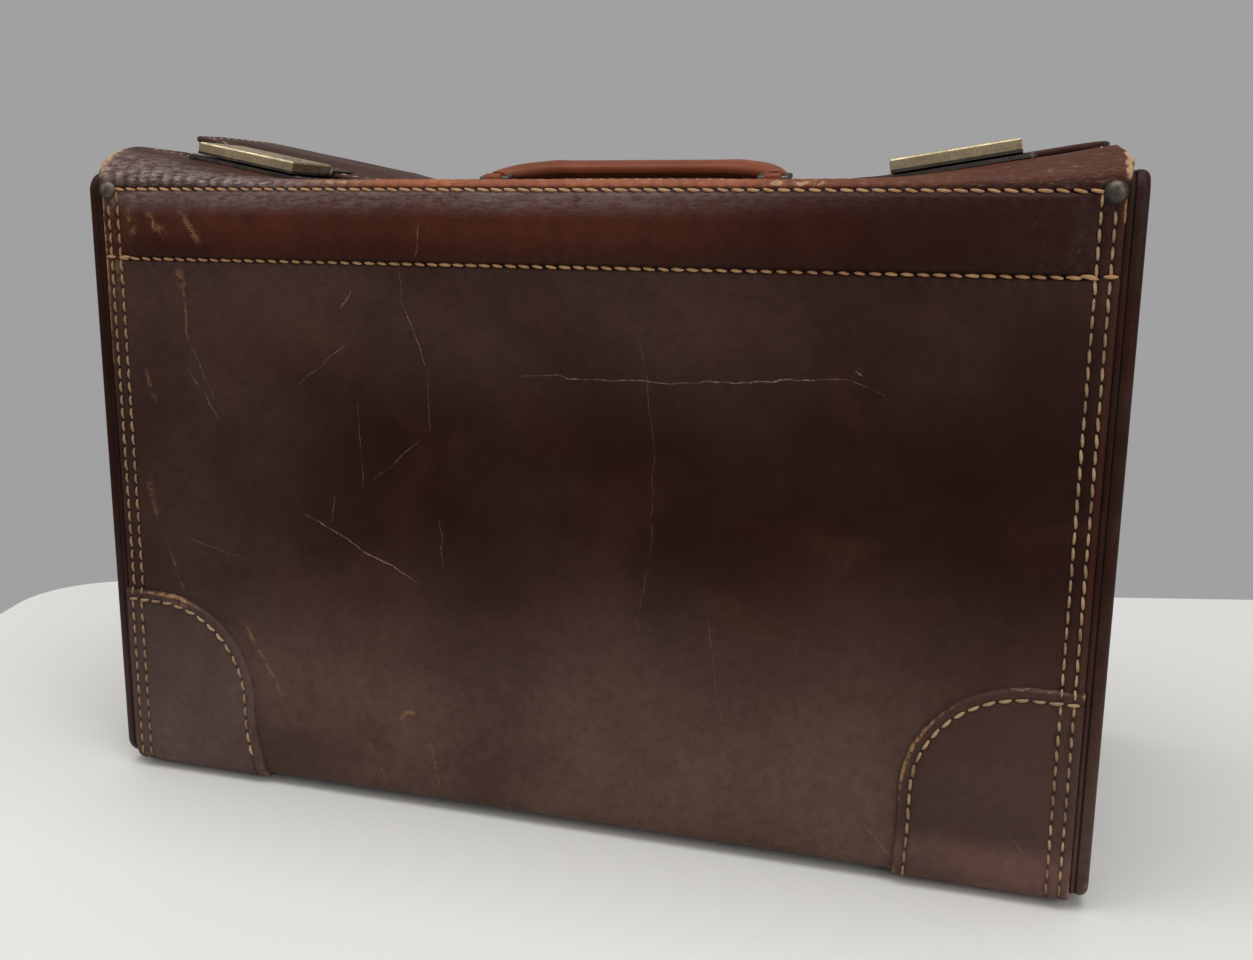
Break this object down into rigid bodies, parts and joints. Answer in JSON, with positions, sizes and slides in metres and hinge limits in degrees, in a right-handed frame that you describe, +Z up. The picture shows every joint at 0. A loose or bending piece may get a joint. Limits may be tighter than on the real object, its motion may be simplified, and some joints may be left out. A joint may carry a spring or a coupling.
{
  "type": "pilot case",
  "caption": "Leather pilot case: rigid board-stiffened body with a wide mouth closed by two hinged leather flaps, hasp locks with key-turned bolts and a folding handle.",
  "frame": {"origin": "centre of the footprint on the surface that the feet stand on", "axes": "+X along the case to its right end seen from the front, +Y from front to back, +Z up"},
  "size_m": [0.457, 0.2096, 0.3071],
  "materials": {
    "body_leather": "dark mahogany harness leather, waxed, scuffed",
    "patch_leather": "mahogany leather with pale cut edges",
    "handle_leather": "smooth caramel leather, polished by use",
    "board": "pressed fibre board",
    "lining_cloth": "plain woven cotton",
    "frame_steel": "dull spring steel",
    "aged_brass": "aged olive brass, rubbed bright on the edges",
    "dark_bronze": "dark patinated rivet heads"
  },
  "bodies": {
    "case_body": {"bottom_board": "board", "bottom_leather": "body_leather", "front_board": "board", "front_panel": "body_leather", "back_board": "board", "back_panel": "body_leather", "left_end_board": "board", "right_end_board": "board", "left_end_panel": "body_leather", "right_end_panel": "body_leather", "left_end_cap": "body_leather", "right_end_cap": "body_leather", "lining": "lining_cloth", "frame_bar_front": "frame_steel", "frame_bar_back": "frame_steel", "frame_bar_left": "frame_steel", "frame_bar_right": "frame_steel", "frame_rivets": "frame_steel", "corner_patch_front_left": "patch_leather", "corner_patch_front_right": "patch_leather", "corner_patch_back_left": "patch_leather", "corner_patch_back_right": "patch_leather", "corner_rivets": "dark_bronze", "feet": "aged_brass"},
    "front_cover": {"front_flap": "body_leather", "front_flap_lining": "lining_cloth", "strike_plate_left": "aged_brass", "strike_plate_right": "aged_brass", "strike_rivets": "aged_brass"},
    "rear_cover": {"rear_flap": "body_leather", "rear_flap_lining": "lining_cloth", "lock_back_plate_left": "aged_brass", "lock_back_plate_right": "aged_brass", "lock_case_left": "aged_brass", "lock_case_right": "aged_brass", "lock_rivets": "aged_brass", "handle_mount_left": "aged_brass", "handle_mount_right": "aged_brass", "handle_backing_plate": "frame_steel", "handle_rivets": "aged_brass"},
    "handle": {"handle_grip": "handle_leather", "handle_core": "frame_steel", "handle_ring_left": "aged_brass", "handle_ring_right": "aged_brass"},
    "left_bolt": {"lock_bolt_left": "frame_steel"},
    "right_bolt": {"lock_bolt_right": "frame_steel"},
    "left_plug": {"key_plug_left": "aged_brass"},
    "right_plug": {"key_plug_right": "aged_brass"}
  },
  "joints": [
    {"name": "rear_flap_hinge", "type": "hinge", "parent": "case_body", "child": "rear_cover", "pos_m": [0, 0.098, 0.2868], "axis": [-1, 0, 0], "range_deg": [0, 200]},
    {"name": "front_flap_hinge", "type": "hinge", "parent": "case_body", "child": "front_cover", "pos_m": [0, -0.098, 0.2868], "axis": [1, 0, 0], "range_deg": [0, 100]},
    {"name": "handle_swing", "type": "hinge", "parent": "rear_cover", "child": "handle", "pos_m": [0, 0.006, 0.2904], "axis": [1, 0, 0], "range_deg": [0, 158]},
    {"name": "left_key_turn", "type": "hinge", "parent": "rear_cover", "child": "left_plug", "pos_m": [-0.14554, -0.062, 0.29175], "axis": [0.1874, 0, 0.9823], "range_deg": [0, 90]},
    {"name": "right_key_turn", "type": "hinge", "parent": "rear_cover", "child": "right_plug", "pos_m": [0.14547, -0.062, 0.29103], "axis": [0.1582, 0, -0.9874], "range_deg": [0, 90]},
    {"name": "left_bolt_slide", "type": "slide", "parent": "rear_cover", "child": "left_bolt", "axis": [-0.9823, 0, 0.1874], "range_m": [0, 0.0044]},
    {"name": "right_bolt_slide", "type": "slide", "parent": "rear_cover", "child": "right_bolt", "axis": [0.9874, 0, 0.1582], "range_m": [0, 0.0044]}
  ],
  "couplings": [
    {"joint": "front_flap_hinge", "follows": "rear_flap_hinge", "ratio": 0.5},
    {"joint": "left_key_turn", "follows": "left_bolt_slide", "rad_per_m": 356.99},
    {"joint": "right_key_turn", "follows": "right_bolt_slide", "rad_per_m": 356.99}
  ]
}
